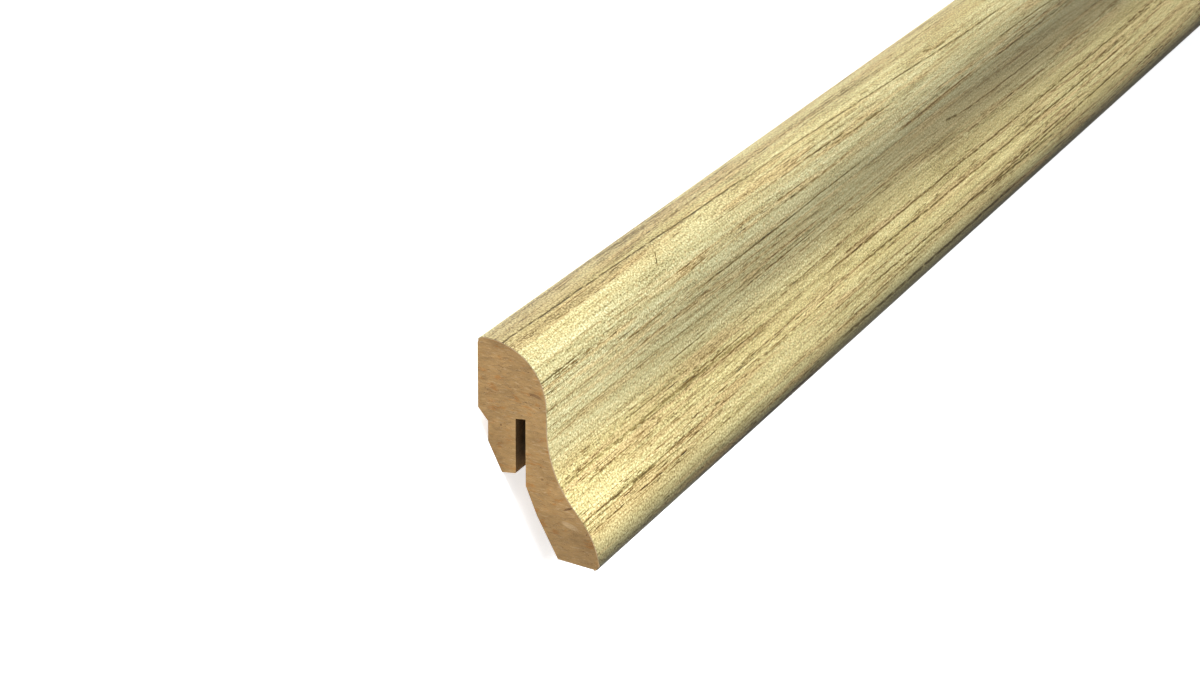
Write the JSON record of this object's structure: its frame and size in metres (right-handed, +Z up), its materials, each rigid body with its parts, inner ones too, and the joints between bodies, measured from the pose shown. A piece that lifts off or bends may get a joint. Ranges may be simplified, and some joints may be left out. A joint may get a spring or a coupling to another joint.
{
  "type": "skirting board length",
  "caption": "Straight skirting board length with an ogee face, a clip groove in the back and a light oak decor foil over an MDF core.",
  "frame": {"origin": "under the middle of the length, centred across, on the surface that the board lies on", "axes": "+X along the board, with the sawn end of the picture at low X; +Z up from the surface it lies on, face up; +Y towards the board's top edge and -Y towards its foot"},
  "size_m": [2.4, 0.0448, 0.0134],
  "materials": {
    "bare_mdf": "raw, sawn and machined, matt, with fine fibres",
    "oak_decor_foil": "printed light oak with pressed pores, satin"
  },
  "bodies": {
    "root": {"mdf_core": "bare_mdf", "decor_foil": "oak_decor_foil"}
  },
  "joints": []
}
